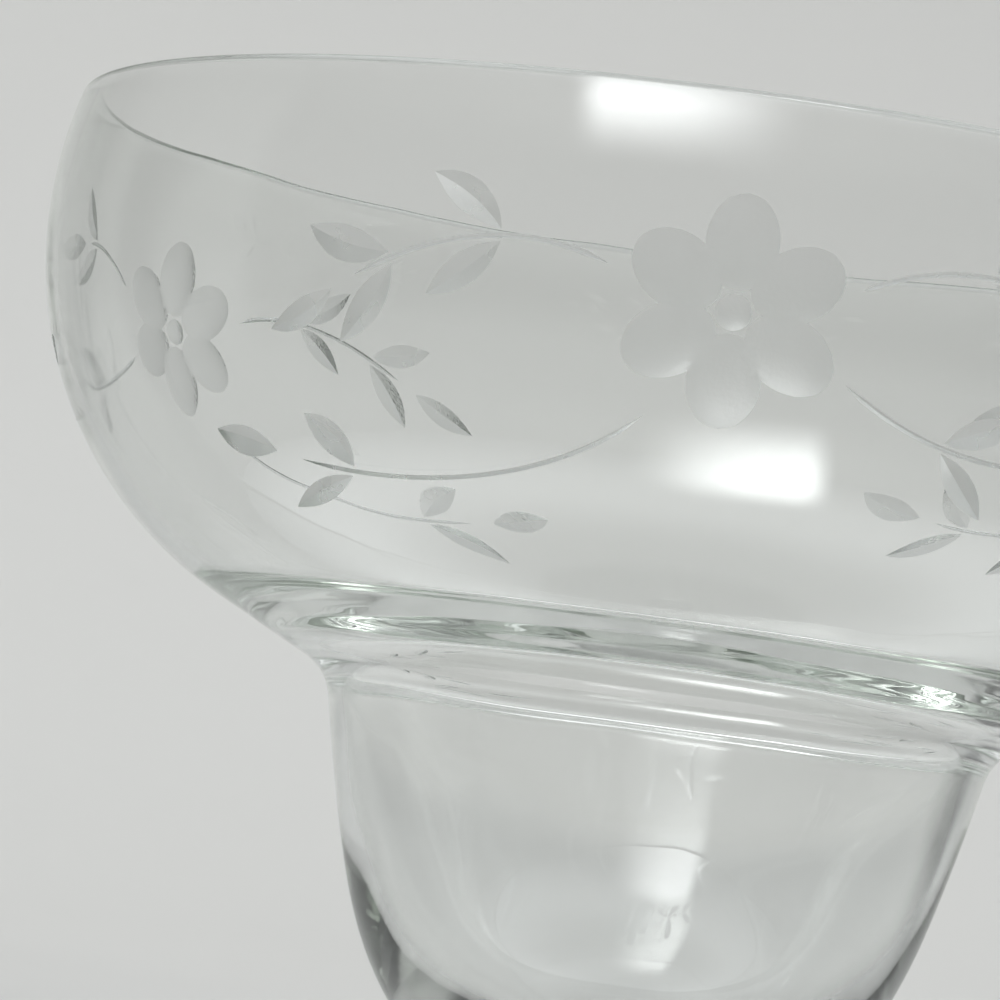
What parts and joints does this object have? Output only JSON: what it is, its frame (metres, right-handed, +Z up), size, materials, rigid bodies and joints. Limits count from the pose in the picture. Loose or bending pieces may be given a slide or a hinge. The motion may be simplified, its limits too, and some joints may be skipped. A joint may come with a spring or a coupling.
{
  "type": "margarita glass",
  "caption": "Clear margarita glass: a wide rounded bowl over a narrow well, on a slim drawn stem and a round foot, with leaf sprays cut into the bowl.",
  "frame": {"origin": "on the glass's axis, at the plane it stands on", "axes": "+Z up the axis from the foot to the rim; +X and +Y are free, because the solids are turned about Z"},
  "size_m": [0.1148, 0.1148, 0.1721],
  "materials": {
    "clear_glass": "clear fire-polished glass, with grey-cut leaf sprays on the bowl"
  },
  "bodies": {
    "root": {"bowl": "clear_glass", "stem": "clear_glass", "foot": "clear_glass"}
  },
  "joints": []
}
